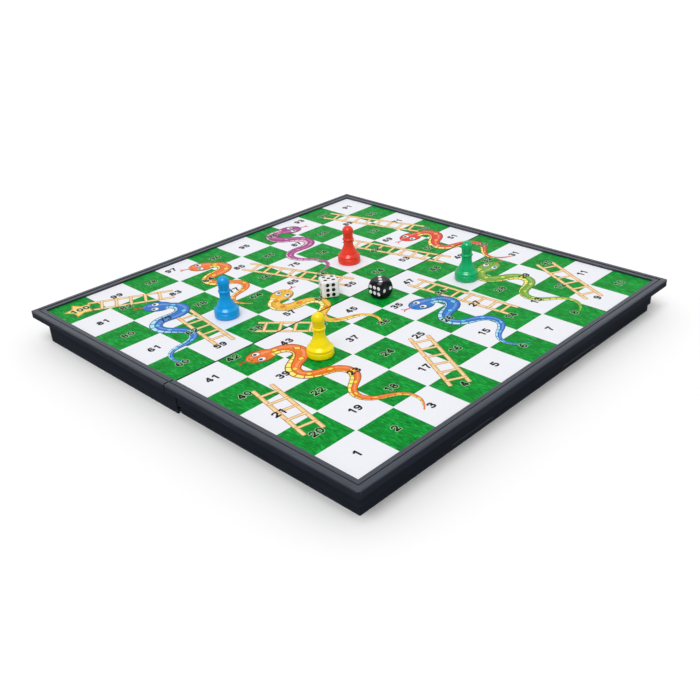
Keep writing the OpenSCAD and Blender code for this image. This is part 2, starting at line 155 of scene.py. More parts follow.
class SnakeSettings(bpy.types.PropertyGroup):
    """Colours and sizes of the printed snakes"""

    orange: colour("Orange", "Back of the orange snakes", 244, 120, 24)
    purple: colour("Purple", "Back of the purple snake", 172, 56, 140)
    blue: colour("Blue", "Back of the blue snakes", 40, 120, 208)
    red: colour("Red", "Back of the red snake", 232, 62, 40)
    yellow: colour("Yellow", "Back of the yellow snake", 248, 190, 40)
    green: colour("Green", "Back of the green snake", 118, 176, 40)
    tongue: colour("Tongue", "Colour of the tongues", 222, 30, 44)
    body_w: length("Body Width", "Width of the body at its thickest", 8.6, 4, 10)
    head_w: length("Head Width", "Width of the head", 12.4, 6, 14)
    head_l: length("Head Length", "Length of the head", 16, 8, 20)
    tip_w: length("Tail Tip", "Width of the tail at its tip", 0.6, 0.4, 1)
    tongue_l: length("Tongue Length", "How far the tongue reaches", 5, 2, 8)
    eye_r: length("Eye Radius", "Radius of an eye", 1.75, 1, 2.5)


class PawnSettings(bpy.types.PropertyGroup):
    """Colours and sizes of the pawns"""

    red: colour("Red", "Colour of the red pawn", 240, 60, 40)
    blue: colour("Blue", "Colour of the blue pawn", 0, 157, 234)
    yellow: colour("Yellow", "Colour of the yellow pawn", 255, 231, 0)
    green: colour("Green", "Colour of the green pawn", 0, 192, 118)
    gloss: amount("Gloss", "How strongly the pawns mirror", 0.27)
    head_r: length("Head Radius", "Radius of the head", 3.3, 3, 4)
    band_h: length("Band Height", "Height of the straight band round the base", 3.3, 2.4, 3.6)
    edge_r: length("Band Edge", "Radius of the band's lower edge", 1.1, 0.4, 1.4)
    collar_r: length("Collar Radius", "Radius of the collar", 3.4, 3, 4)
    collar_z: length("Collar Height", "Height of the middle of the collar", 14.8, 14, 16)
    collar_t: length("Collar Thickness", "Thickness of the collar", 1.3, 0.8, 2)
    neck_r: length("Neck Radius", "Radius of the neck above the collar", 2.9, 2, 3.2)
    magnet_fit: length("Magnet Clearance", "Clearance round the magnet", 0.05, 0.02, 0.1)
    round_steps: IntProperty(name="Steps", description="Faces round a pawn", default=96, min=32, max=160)


class DiceSettings(bpy.types.PropertyGroup):
    """Colours and sizes of the two dice"""

    white: colour("White", "Colour of the white die", 240, 239, 242)
    black: colour("Black", "Colour of the black die", 22, 22, 25)
    white_gloss: amount("White Gloss", "How strongly the white die mirrors", 0.27)
    black_gloss: amount("Black Gloss", "How strongly the black die mirrors", 0.15)
    paint_gloss: amount("Paint Gloss", "How strongly the paint in the spots mirrors", 0.27)
    white_edge: length("White Die Edge", "Radius of the white die's edges", 1.3, 0.6, 2)
    black_ball: length("Black Die Ball", "Radius of the ball that rounds the black die", 6.7, 6.6, 7)
    spot_r: length("Spot Radius", "Radius of a spot's hollow at the surface", 1.1, 0.5, 1.2)
    spot_depth: length("Spot Depth", "Depth of a spot's hollow", 0.42, 0.2, 0.6)
    lip: length("Paint Lip", "How far the paint in a spot stays below the face", 0.02, 0.01, 0.1)
    white_turn: angle("White Die Turn", "How the white die is turned on the board", -33)
    black_turn: angle("Black Die Turn", "How the black die is turned on the board", 2)


class StageSettings(bpy.types.PropertyGroup):
    """Camera, floor and lamps"""

    azimuth: angle("Azimuth", "Side that the camera looks from", -45.8)
    elevation: angle("Elevation", "Height that the camera looks from", 28.49)
    roll: angle("Roll", "How the picture is tilted", -2.5)
    eye: FloatVectorProperty(
        name="Eye", description="Place of the camera", subtype="TRANSLATION", unit="LENGTH",
        default=(-0.3078, -0.3110, 0.2212))
    focal: amount("Focal Length", "Lens, in millimetres", 44.7, 20, 120)
    shift: amount("Shift", "Sideways shift of the lens", -0.026, -0.2, 0.2)
    floor: colour("Floor", "Colour of the floor, as the camera sees it", 255, 255, 255)
    bounce: colour("Floor Bounce", "Colour of the floor in the light that it gives back", 72, 72, 72)
    world: amount("World", "Strength of the even light", 0.64, 0, 2)
    dim: amount("Dim Side", "Strength of the light that is mirrored from behind the camera", 0.35)
    box: amount("Soft Box", "Strength of the key lamp's soft box, as it is mirrored", 12, 0, 20)
    box_size: angle("Soft Box Size", "From the middle of the soft box to its edge", 20)
    sun: amount("Sun", "Light of the soft key lamp on the floor", 0.4, 0, 2)
    sun_high: angle("Sun Height", "How high the key lamp stands", 62)
    sun_side: angle("Sun Side", "Side that the key lamp stands on", -150)
    sun_size: angle("Sun Size", "Width of the key lamp as the board sees it", 38)


# Finishes

# Most of a noise lies between these
NOISE_RANGE = (0.3, 0.7)
# How far from the fold the painted shade on the film's cut edge begins to fade, and where it ends
FOLD_SHADE_FADE = (FOLD_GAP + 0.03 * MM, FOLD_GAP + 0.12 * MM)
# Ink under the film's clear face
INK_GLOSS = 0.12
INK_ROUGHNESS = 0.42
FILM_ROUGHNESS = 0.36
INK = {"gloss": INK_GLOSS, "cloud": (700, 3), "keep": 0.96, "grain": (600, 2), "height": 0.002 * MM}


def tint(base, keep, add=0.0):
    """A colour made darker by what it keeps, or paler by what is added."""
    return [min(1.0, level * keep + add) for level in base]


class Nodes:
    """The node tree of a material or a world, with short calls for the nodes put in it."""

    def __init__(self, owner):
        owner.use_nodes = True
        self.tree = owner.node_tree

    def feed(self, socket, value):
        """Gives a socket a number, a colour, a vector or another node's output."""
        if isinstance(value, bpy.types.NodeSocket):
            self.tree.links.new(value, socket)
        else:
            socket.default_value = (*value, 1) if socket.type == "RGBA" else value

    def put(self, kind, sockets=None, **settings):
        """A node with its settings, and its sockets fed."""
        node = self.tree.nodes.new(kind)
        for key, value in settings.items():
            setattr(node, key, value)
        for key, value in (sockets or {}).items():
            self.feed(node.inputs[key], value)
        return node

    def place(self, source="Object", stretch=(1, 1, 1), turn=0.0):
        """Coordinates on the object, stretched and turned."""
        coordinates = self.put("ShaderNodeTexCoord").outputs[source]
        mapping = self.put("ShaderNodeMapping", {
            "Vector": coordinates, "Scale": stretch, "Rotation": (0, 0, turn)})
        return mapping.outputs["Vector"]

    def split(self, vector):
        """The X and the Y of a vector."""
        parts = self.put("ShaderNodeSeparateXYZ", {"Vector": vector}).outputs
        return parts["X"], parts["Y"]

    def noise(self, place, scale, detail, roughness=0.5):
        """A noise from 0 to 1."""
        node = self.put("ShaderNodeTexNoise", {
            "Vector": place, "Scale": scale, "Detail": detail, "Roughness": roughness})
        return node.outputs["Fac"]

    def reckon(self, operation, *values):
        """A sum, product or like of numbers and outputs."""
        node = self.put("ShaderNodeMath", operation=operation)
        for socket, value in zip(node.inputs, values):
            self.feed(socket, value)
        return node.outputs["Value"]

    def away(self, value, middle=0.0):
        """How far a value is from a middle."""
        return self.reckon("ABSOLUTE", self.reckon("SUBTRACT", value, middle))

    def facing(self, first, second):
        """How much two directions agree, from -1 to 1."""
        node = self.put("ShaderNodeVectorMath", {0: first, 1: second}, operation="DOT_PRODUCT")
        return node.outputs["Value"]

    def spread(self, value, low, high, to_low=0.0, to_high=1.0):
        """A value's range from low to high, eased and spread over another range."""
        node = self.put("ShaderNodeMapRange", {
            "Value": value, "From Min": low, "From Max": high, "To Min": to_low, "To Max": to_high},
            interpolation_type="SMOOTHSTEP")
        return node.outputs["Result"]

    def mix(self, factor, first, second):
        """Two colours mixed by a factor. A colour is three numbers or an output."""
        node = self.put("ShaderNodeMix", data_type="RGBA")
        sockets = [s for s in node.inputs if s.enabled]
        for socket, value in zip(sockets, (factor, first, second)):
            self.feed(socket, value)
        return next(s for s in node.outputs if s.enabled)


class Finish(Nodes):
    """A material. What is the same all over is set on its Principled shader's own sockets."""

    def __init__(self, name, base, roughness, gloss=0.5, **sockets):
        self.material = bpy.data.materials.new(name)
        super().__init__(self.material)
        self.shader = self.tree.nodes["Principled BSDF"]
        self.give("Base Color", base)
        self.give("Roughness", roughness)
        self.give("Specular IOR Level", gloss)
        for socket, value in sockets.items():
            self.give(socket.replace("_", " "), value)

    def give(self, socket, value):
        """Feeds one of the shader's sockets."""
        self.feed(self.shader.inputs[socket], value)

    def relief(self, height, distance, strength=1.0):
        """Bumps on the surface, as high as distance."""
        bump = self.put("ShaderNodeBump", {"Strength": strength, "Distance": distance, "Height": height})
        self.give("Normal", bump.outputs["Normal"])


def plain_finish(name, base, roughness, *, cloud, keep, height, stretch=(1, 1, 1), paler=(1, 0),
                 rough=None, grain=None, strength=1.0, **sockets):
    """A finish of one colour, mottled by a noise. Its relief is the same noise or a grain of its own."""
    finish = Finish(name, base, roughness, **sockets)
    fleck = finish.noise(finish.place(stretch=stretch), *cloud)
    finish.tone = finish.mix(fleck, tint(base, keep), tint(base, *paler))
    finish.give("Base Color", finish.tone)
    if rough:
        smoothest, roughest = [roughness + more for more in rough]
        finish.give("Roughness", finish.spread(fleck, *NOISE_RANGE, smoothest, roughest))
    finish.relief(finish.noise(finish.place(), *grain) if grain else fleck, height, strength)
    return finish


def moulded_plastic(name, base, roughness, gloss):
    """Satin plastic from a spark-eroded mould: a fine even grain, and faint flow marks."""
    return plain_finish(
        name, base, roughness, gloss=gloss, cloud=(26, 4), stretch=(1, 3, 3), keep=0.86,
        paler=(1.16, 0.004), rough=(-0.05, 0.07), grain=(2200, 2), height=0.012 * MM).material


def glossy_plastic(name, base, gloss, **sockets):
    """Polished plastic, with the faint waves and specks that moulding leaves."""
    return plain_finish(
        name, base, 0.2, gloss=gloss, cloud=(260, 3), keep=0.93, rough=(-0.03, 0.07), grain=(420, 2),
        height=0.02 * MM, strength=0.6, **sockets).material


def bare_metal(name, base, stretch, roughness):
    """Drawn or rolled metal, with fine lines one way."""
    return plain_finish(
        name, base, roughness, cloud=(900, 3), stretch=stretch, keep=0.8, rough=(-0.08, 0.1),
        height=0.004 * MM, Metallic=1.0).material


def ferrite(name, base):
    """Pressed ferrite: dull, dark and a little grainy."""
    return plain_finish(
        name, base, 0.55, cloud=(3200, 2), keep=0.6, height=0.02 * MM, Metallic=0.3).material


def printed_ink(name, base):
    """Ink of one colour under the film's clear face, with its faint mottling."""
    return plain_finish(name, base, INK_ROUGHNESS, **INK).material


def film_ink(name, base, cut):
    """The film's white face. Its cut edge and the thin strip beside it along the fold are painted dark, as
    painted shade for the fold's gap.
    """
    ink = plain_finish(name, base, FILM_ROUGHNESS, **INK)
    to_fold = ink.away(ink.split(ink.place())[1])
    # Painted shade: the white turns to the cut edge's dark colour towards the fold, standing in for the shade
    # in its gap
    ink.give("Base Color", ink.mix(ink.spread(to_fold, *FOLD_SHADE_FADE, 1, 0), ink.tone, cut))
    return ink.material


def grass_ink(name, look):
    """Printed turf: short blades that lie two ways, over darker and lighter patches."""
    ink = Finish(name, look.grass, INK_ROUGHNESS, gloss=0.05)
    patches = ink.noise(ink.place(), 210, 4, 0.6)
    blades = [ink.noise(ink.place(stretch=(1, 0.3, 1), turn=turn), scale, 3, 0.6)
              for turn, scale in ((0.5, 1150), (-0.9, 950))]
    height = ink.reckon("MULTIPLY", ink.reckon("ADD", *blades), 0.5)
    turf = ink.mix(ink.spread(height, 0.36, 0.5), look.grass_dark, look.grass)
    turf = ink.mix(ink.spread(height, 0.5, 0.64, 0, 0.75), turf, look.grass_light)
    turf = ink.mix(ink.spread(patches, 0.35, 0.62, 0.5, 0), turf, look.grass_dark)
    ink.give("Base Color", turf)
    ink.relief(height, 0.004 * MM)
    return ink.material


def wood_ink(name, look):
    """Drawn wood: grain along each bar, and a shaded lower side. The UV map is in millimetres."""
    ink = Finish(name, look.wood, INK_ROUGHNESS, INK_GLOSS)
    grain = ink.noise(ink.place("UV", stretch=(0.22, 2.2, 1)), 1.0, 4, 0.6)
    across = ink.split(ink.place("UV"))[1]
    wood = ink.mix(ink.spread(grain, 0.46, 0.66), look.wood, look.wood_dark)
    ink.give("Base Color", ink.mix(ink.spread(across, 0.1, -0.75, 0, 0.7), wood, look.wood_dark))
    return ink.material


def snake_ink(name, back, belly, mark):
    """Drawn snake skin. The UV map runs in bands along the body, and from side to side from 0 to 1."""
    ink = Finish(name, back, 0.4, INK_GLOSS)
    along, across = ink.split(ink.place("UV"))
    past_head = ink.spread(along, 3.4, 3.9)
    dark = tint(back, 0.5)
    # The back, mottled, with a gleam along its upper side
    cloud = ink.noise(ink.place(), 520, 4, 0.6)
    gleam = ink.spread(ink.away(across, 0.68), 0.13, 0.02, 0, 0.6)
    skin = ink.mix(ink.spread(cloud, 0.35, 0.65, 0.35, 0), back, dark)
    skin = ink.mix(gleam, skin, tint(back, 0.75, 0.25))
    # Diamonds down the back, one for every three bands
    step = ink.away(ink.reckon("FRACT", ink.reckon("MULTIPLY", along, 1 / 3)), 0.5)
    diamond = ink.reckon("MULTIPLY_ADD", step, 1.1, ink.away(across, 0.62))
    # The belly turns in and out of sight along the lower side, with a line across at every band
    wave = ink.reckon("SINE", ink.reckon("MULTIPLY", along, 0.55))
    over = ink.reckon("SUBTRACT", across, ink.reckon("MULTIPLY_ADD", wave, 0.13, 0.3))
    line = ink.away(ink.reckon("FRACT", along), 0.5)
    plates = ink.mix(ink.spread(line, 0.4, 0.46), belly, dark)
    for value, low, high, paint in (
            (diamond, 0.26, 0.23, dark), (diamond, 0.2, 0.17, mark), (over, 0.01, -0.01, plates),
            (ink.away(over), 0.05, 0.025, dark)):
        cover = ink.reckon("MULTIPLY", ink.spread(value, low, high), past_head)
        skin = ink.mix(cover, skin, paint)
    # The outline
    side = ink.spread(ink.away(across, 0.5), 0.42, 0.455)
    ink.give("Base Color", ink.mix(side, skin, tint(back, 0.22)))
    return ink.material


# Meshes

DISC_STEPS = 20


def add_object(name, data):
    """A new object in the scene, at the origin."""
    made = bpy.data.objects.new(name, data)
    bpy.context.scene.collection.objects.link(made)
    return made


def finish_mesh(bm, name, materials, smooth=None):
    """Writes a bmesh into a new object at the origin. Edges that turn more than smooth stay sharp."""
    if smooth is not None:
        for face in bm.faces:
            face.smooth = True
        for edge in bm.edges:
            edge.smooth = edge.calc_face_angle(math.pi) < smooth
    mesh = bpy.data.meshes.new(name)
    bm.to_mesh(mesh)
    bm.free()
    for material in materials:
        mesh.materials.append(material)
    return add_object(name, mesh)


def apply_modifiers(piece):
    """Makes what a piece's modifiers do its own mesh."""
    bpy.context.view_layer.update()
    graph = bpy.context.evaluated_depsgraph_get()
    done = bpy.data.meshes.new_from_object(piece.evaluated_get(graph), depsgraph=graph)
    piece.modifiers.clear()
    piece.data = done


def seat(piece, body, slot, *nodes):
    """A piece rides on its body and stands for the nodes that it replaces. Its slot is not used."""
    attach(piece, body)
    if nodes:
        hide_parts(*nodes)


def dress(node, material):
    """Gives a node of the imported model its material."""
    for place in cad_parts[node].material_slots:
        place.material = material


def faces_at(verts):
    """The faces that hold any of some vertices, each once and in the order of the vertices."""
    return list(dict.fromkeys(face for vert in verts for face in vert.link_faces))


def to_ink(faces, ink, layer):
    """Faces of flat print take their ink and the height of their layer."""
    level = FILM_Z + LAYER_SHARES[layer] * (STAND_Z - FILM_Z)
    for face in faces:
        face.material_index = ink
        for vert in face.verts:
            vert.co.z = level


def thicken(bm):
    """Gives flat ink its thickness, from its top down to the film, as closed prisms."""
    faces = bm.faces[:]
    for face in faces:
        if face.normal.z < 0:
            face.normal_flip()
    grown = bmesh.ops.extrude_face_region(bm, geom=faces, use_keep_orig=True)
    for item in grown["geom"]:
        if isinstance(item, bmesh.types.BMVert):
            item.co.z = FILM_Z
    bmesh.ops.recalc_face_normals(bm, faces=bm.faces[:])


def cut_off(bm, point, outwards):
    """Cuts a bmesh along a plane through a point, and leaves out what lies outwards."""
    bmesh.ops.bisect_plane(
        bm, geom=bm.verts[:] + bm.edges[:] + bm.faces[:], dist=TOUCH,
        plane_co=point, plane_no=outwards, clear_outer=True)


def print_on_halves(flat, name, inks, slot, node=None):
    """Parts flat print at the fold, thickens it and seats each part on its half. A half may have none."""
    for half, side in HALVES:
        bm = flat.copy()
        cut_off(bm, (0, side * FOLD_GAP, 0), (0, -side, 0))
        if not bm.faces:
            bm.free()
            continue
        bm.normal_update()
        thicken(bm)
        piece = finish_mesh(bm, f"{name}_{half}", inks)
        seat(piece, f"{half}_half", slot, *([f"{node}_{half}"] if node else []))
    flat.free()


def on_board(shares):
    """A point of the board, given in squares from the corner of square 1."""
    return Vector(((shares[0] - HALF_N) * SQUARE, (shares[1] - HALF_N) * SQUARE, 0))


def disc(bm, centre, radius, ink, layer, stretch=1.0, turn=0.0):
    """A flat round or oval spot of ink."""
    matrix = Matrix.Translation(centre) @ Matrix.Rotation(turn, 4, "Z") @ Matrix.Diagonal((stretch, 1, 1, 1))
    made = bmesh.ops.create_circle(bm, cap_ends=True, radius=radius, segments=DISC_STEPS, matrix=matrix)
    to_ink(faces_at(made["verts"]), ink, layer)


def join(bm, part):
    """Adds a part to a bmesh, and frees the part."""
    mesh = bpy.data.meshes.new("part")
    part.to_mesh(mesh)
    part.free()
    bm.from_mesh(mesh)
    bpy.data.meshes.remove(mesh)


def ribbon(bm, rows, columns):
    """A flat ribbon. A row is its middle, the direction to its left, half its width and its place along."""
    uv = bm.loops.layers.uv.verify()
    made = bmesh.ops.create_grid(bm, x_segments=len(rows) - 1, y_segments=columns, size=0.5)
    map_place = {}
    for vert in made["verts"]:
        across = vert.co.y + 0.5
        middle, left, half, along = rows[round((vert.co.x + 0.5) * (len(rows) - 1))]
        vert.co = middle + left * (2 * across - 1) * half
        map_place[vert] = (along, across)
    faces = faces_at(made["verts"])
    for face in faces:
        for loop in face.loops:
            loop[uv].uv = map_place[loop.vert]
    return faces


class Way:
    """A smooth curve through points, in steps from point to point, measured along its length."""

    def __init__(self, points, steps):
        ends = [2 * points[0] - points[1], *points, 2 * points[-1] - points[-2]]
        self.points = []
        for a, b, c, d in zip(ends, ends[1:], ends[2:], ends[3:]):
            for k in range(steps):
                t = k / steps
                self.points.append((
                    2 * b + (c - a) * t + (2 * a - 5 * b + 4 * c - d) * t * t
                    + (3 * b - a - 3 * c + d) * t ** 3) / 2)
        self.points.append(points[-1])
        self.runs = [0.0]
        for a, b in zip(self.points, self.points[1:]):
            self.runs.append(self.runs[-1] + (b - a).length)
        self.total = self.runs[-1]

    def at(self, run):
        """The point at a distance along the curve, and the direction to its left."""
        last = len(self.runs) - 2
        k = max(i for i in range(last + 1) if self.runs[i] <= max(run, 0) or i == 0)
        t = (run - self.runs[k]) / (self.runs[k + 1] - self.runs[k])
        ahead = self.ahead(k).lerp(self.ahead(k + 1), min(1, max(0, t))).normalized()
        return self.points[k].lerp(self.points[k + 1], t), Vector((-ahead.y, ahead.x, 0))

    def ahead(self, k):
        """The direction of the curve at one of its points."""
        first, second = max(0, k - 1), min(len(self.points) - 1, k + 1)
        return (self.points[second] - self.points[first]).normalized()


# Case and metal

# Triangles that turn less than this from each other are one face
FLAT = math.radians(0.5)


def rounded_copy(node, name, material, look):
    """A copy of a node with its triangles joined into faces, and with its sharp edges rounded."""
    bm = bmesh.new()
    bm.from_mesh(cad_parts[node].data)
    bmesh.ops.remove_doubles(bm, verts=bm.verts[:], dist=TOUCH)
    bmesh.ops.dissolve_limit(
        bm, angle_limit=FLAT, verts=bm.verts[:], edges=bm.edges[:], delimit=set())
    piece = finish_mesh(bm, name, [material], look.sharp)
    edges = piece.modifiers.new("edges", "BEVEL")
    edges.width = look.edge_round
    edges.segments = 2
    edges.limit_method = "ANGLE"
    edges.angle_limit = look.sharp
    edges.harden_normals = True
    apply_modifiers(piece)
    return piece


class MakeCase(bpy.types.Operator):
    """Give both halves of the case their rounded edges and their moulded plastic"""

    bl_idname = "board_game.case"
    bl_label = "Case"

    def execute(self, context):
        look = context.scene.board_case
        plastic = moulded_plastic("case_plastic", look.plastic, look.roughness, look.gloss)
        for half, _ in HALVES:
            piece = rounded_copy(f"case_{half}", f"case_shell_{half}", plastic, look)
            seat(piece, f"{half}_half", "case", f"case_{half}")
        return {"FINISHED"}


class DressMetal(bpy.types.Operator):
    """Give the hinge pins, the steel sheets and the magnets their metal"""

    bl_idname = "board_game.metal"
    bl_label = "Pins, Sheets and Magnets"

    def execute(self, context):
        look = context.scene.board_case
        drawn = bare_metal("drawn_steel", look.steel, (0.05, 1, 1), 0.25)
        rolled = bare_metal("rolled_steel", look.sheet, (1, 0.05, 1), 0.45)
        for side in ("left", "right"):
            dress(f"hinge_pin_{side}", drawn)
        for half, _ in HALVES:
            dress(f"steel_sheet_{half}", rolled)
        magnet = ferrite("ferrite", look.magnet)
        for name in PAWNS:
            dress(f"magnet_{name}", magnet)
        return {"FINISHED"}


# Print

class DressPlayingFace(bpy.types.Operator):
    """Give the film its white and the green squares their printed turf"""

    bl_idname = "board_game.playing_face"
    bl_label = "Playing Face"

    def execute(self, context):
        look = context.scene.board_print
        film = film_ink("film_white", look.paper, look.cut)
        grass = grass_ink("turf_green", look)
        for half, _ in HALVES:
            dress(f"playing_film_{half}", film)
            dress(f"green_squares_{half}", grass)
        return {"FINISHED"}


def number_of(column, row):
    """A row's numbers run to the right, and the next row's to the left."""
    return row * GRID_N + (column + 1 if row % 2 == 0 else GRID_N - column)


# Rings of each digit, in thousandths of its height: the middle, and the two radii of the stroke's middle
DIGIT_RINGS = {
    "0": ((0, 500, 275, 395),), "6": ((10, 315, 265, 210),), "9": ((-10, 685, 265, 210),),
    "8": ((0, 715, 225, 180), (0, 295, 275, 190))}
# Lines of each digit: points that its strokes run through
DIGIT_LINES = {
    "1": (((80, 0), (80, 1000)), ((-240, 700), (60, 920))),
    "2": (((-280, 680), (-200, 840), (20, 895), (220, 830), (270, 680), (180, 500), (-40, 300), (-220, 120)),
          ((-360, 105), (370, 105))),
    "3": (((-270, 740), (-180, 860), (10, 895), (200, 840), (240, 710), (160, 590), (-80, 530)),
          ((-80, 530), (170, 480), (270, 320), (200, 160), (0, 105), (-200, 145), (-300, 280))),
    "4": (((100, 940), (-270, 360)), ((-370, 290), (380, 290)), ((140, 0), (140, 1000))),
    "5": (((-260, 895), (310, 895)), ((-190, 900), (-240, 460)),
          ((-240, 500), (-20, 580), (200, 520), (270, 330), (190, 160), (-10, 105), (-200, 145),
           (-300, 270))),
    "6": (((-255, 330), (-240, 560), (-140, 790), (40, 893), (210, 850), (280, 750)),),
    "7": (((-340, 895), (350, 895)), ((250, 860), (80, 560), (-30, 280), (-80, 0))),
    "9": (((255, 670), (240, 440), (140, 210), (-40, 107), (-210, 150), (-280, 250)),)}
RING_STEPS = 28
STROKE_STEPS = 4
# A ring stays open while its stroke is thinner than this many of its lesser radius
OPEN_SHARE = 1.9


def flat_digit(digit, stroke_w, grow):
    """One digit, one high, with its foot in the middle of the X axis, grown on all sides."""
    bm = bmesh.new()
    wide = stroke_w + 2 * grow
    for ring in DIGIT_RINGS.get(digit, ()):
        x, y, across, up = [place / 1000 for place in ring]
        made = bmesh.ops.create_circle(bm, cap_ends=True, radius=1, segments=RING_STEPS)
        bmesh.ops.scale(bm, vec=(across + wide / 2, up + wide / 2, 1), verts=made["verts"])
        bmesh.ops.translate(bm, vec=(x, y, 0), verts=made["verts"])
        face = faces_at(made["verts"])
        if wide < min(across, up) * OPEN_SHARE:
            bmesh.ops.inset_individual(bm, faces=face, thickness=wide, depth=0, use_even_offset=True)
            bmesh.ops.delete(bm, geom=face, context="FACES_ONLY")
    for line in DIGIT_LINES.get(digit, ()):
        way = Way([Vector((x, y, 0)) / 1000 for x, y in line], 1 if len(line) == 2 else STROKE_STEPS)
        runs = [-grow, *way.runs[1:-1], way.total + grow]
        ribbon(bm, [(*way.at(run), wide / 2, 0) for run in runs], 1)
    return bm


# Numbers that stand aside from the middle of their square, where a snake's head lies, in squares
ASIDE = {97: (-0.24, 0.24), 93: (0.26, 0.24), 82: (-0.22, 0.26), 69: (-0.24, 0.26), 65: (0.22, 0.22),
         64: (0.12, 0.32), 42: (-0.2, 0.34), 35: (-0.2, 0.32), 32: (0.24, 0.3)}


def place_number(bm, number, column, row, digits, look, layer):
    """Sets the digits of a number side by side on its square."""
    aside, up = ASIDE.get(number, (0, 0))
    middle = on_board((column + 0.5 + aside, row + 0.5 + up))
    text = str(number)
    for k, digit in enumerate(text):
        step = (k - (len(text) - 1) / 2) * look.number_step * look.number_h
        part = digits[digit].copy()
        part.transform(Matrix.Translation(middle + Vector((step, -look.number_h / 2, 0)))
                       @ Matrix.Scale(look.number_h, 4))
        to_ink(part.faces, 0, layer)
        join(bm, part)


class PrintNumbers(bpy.types.Operator):
    """Print the numbers 1 to 100, with a pale outline on the green squares"""

    bl_idname = "board_game.numbers"
    bl_label = "Numbers"

    def execute(self, context):
        look = context.scene.board_print
        plain, grown = [
            {digit: flat_digit(digit, look.number_bold, grow) for digit in "0123456789"}
            for grow in (0, look.halo_w)]
        numbers, halos = bmesh.new(), bmesh.new()
        for column in range(GRID_N):
            for row in range(GRID_N):
                number = number_of(column, row)
                place_number(numbers, number, column, row, plain, look, "number")
                # Even numbers stand on green squares
                if number % 2 == 0:
                    place_number(halos, number, column, row, grown, look, "halo")
        print_on_halves(numbers, "numbers", [printed_ink("number_black", look.ink)], "spot_black")
        print_on_halves(halos, "number_halos", [printed_ink("halo_pale", look.halo)], "film")
        for bm in (*plain.values(), *grown.values()):
            bm.free()
        return {"FINISHED"}


# Feet and tops of the ladders, in squares from the corner of square 1
LADDER_SHARES = (
    ((3.45, 0.55), (4.45, 2.45)), ((8.45, 0.55), (9.45, 2.55)), ((0.50, 1.55), (0.90, 3.45)),
    ((6.75, 1.60), (6.55, 4.40)), ((3.45, 4.45), (2.55, 5.55)), ((1.65, 5.50), (1.95, 7.50)),
    ((5.60, 5.60), (4.65, 8.40)), ((8.15, 4.60), (7.45, 7.45)), ((2.45, 8.50), (0.70, 9.50)),
    ((9.45, 6.55), (8.60, 9.45)))
# Roundness of a bar's corners and reach of a rung past the rails' middles, in widths
CORNER_SHARE = 0.3
REACH_SHARE = 0.45
# From one ladder's, rail's or rung's piece of the grain to the next one's, in millimetres
LADDER_SHIFT = 40
RAIL_SHIFT = 7
RUNG_SHIFT = 13


def bar(bm, matrix, long, wide, outline, layer, phase):
    """A drawn bar along X with rounded corners: an outline, and wood inside it."""
    uv = bm.loops.layers.uv.verify()
    made = bmesh.ops.create_grid(bm, x_segments=1, y_segments=1, size=0.5)
    bmesh.ops.scale(bm, vec=(long, wide, 1), verts=made["verts"])
    rounded = bmesh.ops.bevel(
        bm, geom=made["verts"], offset=wide * CORNER_SHARE, offset_type="OFFSET", segments=3,
        profile=0.5, affect="VERTICES", material=-1)
    face = max(faces_at(rounded["verts"]), key=lambda f: f.calc_area())
    made = bmesh.ops.inset_individual(bm, faces=[face], thickness=outline, depth=0, use_even_offset=True)
    faces = made["faces"] + [face]
    for part in faces:
        for loop in part.loops:
            loop[uv].uv = (loop.vert.co.x / MM + phase, loop.vert.co.y / MM)
    to_ink(made["faces"], 1, layer)
    to_ink([face], 0, layer)
    verts = list(dict.fromkeys(vert for part in faces for vert in part.verts))
    level = verts[0].co.z
    bmesh.ops.transform(bm, matrix=matrix, verts=verts)
    for vert in verts:
        vert.co.z = level


def draw_ladder(bm, foot, top, look, phase):
    """Two rails, with rungs nailed over them."""
    foot, top = on_board(foot), on_board(top)
    way = top - foot
    turn = Matrix.Translation(foot) @ Matrix.Rotation(math.atan2(way.y, way.x), 4, "Z")
    rungs = math.floor(way.length / look.rung_step)
    spare = way.length - (rungs - 1) * look.rung_step
    for side in (-1, 1):
        at = Matrix.Translation((way.length / 2, side * look.ladder_w / 2, 0))
        bar(bm, turn @ at, way.length, look.rail_w, look.outline_w, "ladder", phase + RAIL_SHIFT * side)
    across = Matrix.Rotation(math.pi / 2, 4, "Z")
    rung_l = look.ladder_w + look.rail_w * 2 * REACH_SHARE
    for k in range(rungs):
        run = spare / 2 + k * look.rung_step
        bar(bm, turn @ Matrix.Translation((run, 0, 0)) @ across, rung_l, look.rung_w,
            look.outline_w, "nail", phase + RUNG_SHIFT * k)


class PrintLadders(bpy.types.Operator):
    """Print the ladders on both halves"""

    bl_idname = "board_game.ladders"
    bl_label = "Ladders"

    def execute(self, context):
        look = context.scene.board_print
        bm = bmesh.new()
        for k, (foot, top) in enumerate(LADDER_SHARES):
            draw_ladder(bm, foot, top, look, LADDER_SHIFT * k)
        inks = [wood_ink("ladder_wood", look), printed_ink("ladder_outline", look.wood_edge)]
        print_on_halves(bm, "ladder_print", inks, "ink_ladder", "ladders")
        return {"FINISHED"}


# The star's face and its inner corners, in shares of its radius
STAR_FACE_SHARE = 0.86
STAR_WAIST_SHARE = 0.55


class PrintStar(bpy.types.Operator):
    """Print the star behind the last number"""

    bl_idname = "board_game.star"
    bl_label = "Star"

    def execute(self, context):
        look = context.scene.board_print
        bm = bmesh.new()
        middle = on_board((0.5, GRID_N - 0.5))
        for radius, ink, layer in ((look.star_r, 1, "star"), (look.star_r * STAR_FACE_SHARE, 0, "star_face")):
            made = bmesh.ops.create_circle(bm, cap_ends=True, radius=radius, segments=10)
            bmesh.ops.scale(bm, vec=(STAR_WAIST_SHARE, STAR_WAIST_SHARE, 1), verts=made["verts"][1::2])
            bmesh.ops.translate(bm, vec=middle, verts=made["verts"])
            to_ink(faces_at(made["verts"]), ink, layer)
        inks = [printed_ink("star_gold", look.star), printed_ink("star_outline", look.star_edge)]
        print_on_halves(bm, "star", inks, "ink_ladder")
        return {"FINISHED"}


